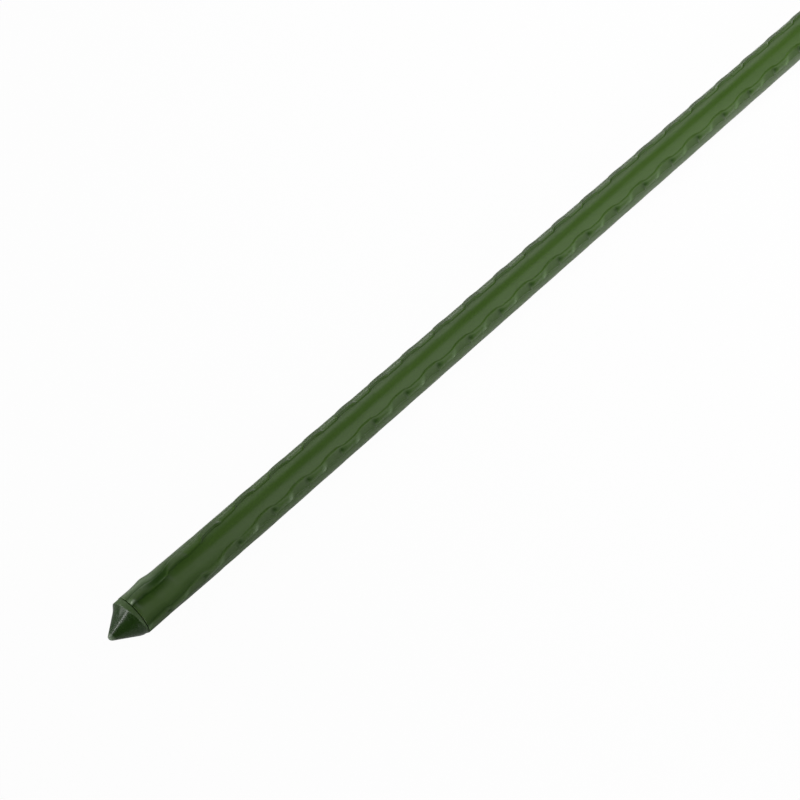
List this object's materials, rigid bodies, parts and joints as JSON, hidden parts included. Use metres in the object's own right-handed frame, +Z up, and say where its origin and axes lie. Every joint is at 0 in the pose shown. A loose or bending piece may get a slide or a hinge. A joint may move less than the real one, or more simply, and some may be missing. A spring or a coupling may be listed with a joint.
{
  "type": "plant stake",
  "caption": "Green coated tubular garden stake with wavy lugged ribs along its sheath, a conical point at one end and a flat cap at the other, for holding up and tying plants.",
  "frame": {"origin": "on the surface the stake lies on, under the middle of its length", "axes": "+X along the stake from the point to the cap, +Z up, with the smooth strips between the ribs facing up, down and to both sides"},
  "size_m": [0.75, 0.0118, 0.0119],
  "materials": {
    "steel": "bare drawn steel, hidden inside the sheath",
    "sheath_plastic": "green extruded plastic with a satin sheen",
    "moulded_plastic": "dark green moulded plastic, glossier than the sheath"
  },
  "bodies": {
    "root": {"tube": "steel", "sheath": "sheath_plastic", "point": "moulded_plastic", "cap": "moulded_plastic"}
  },
  "joints": []
}
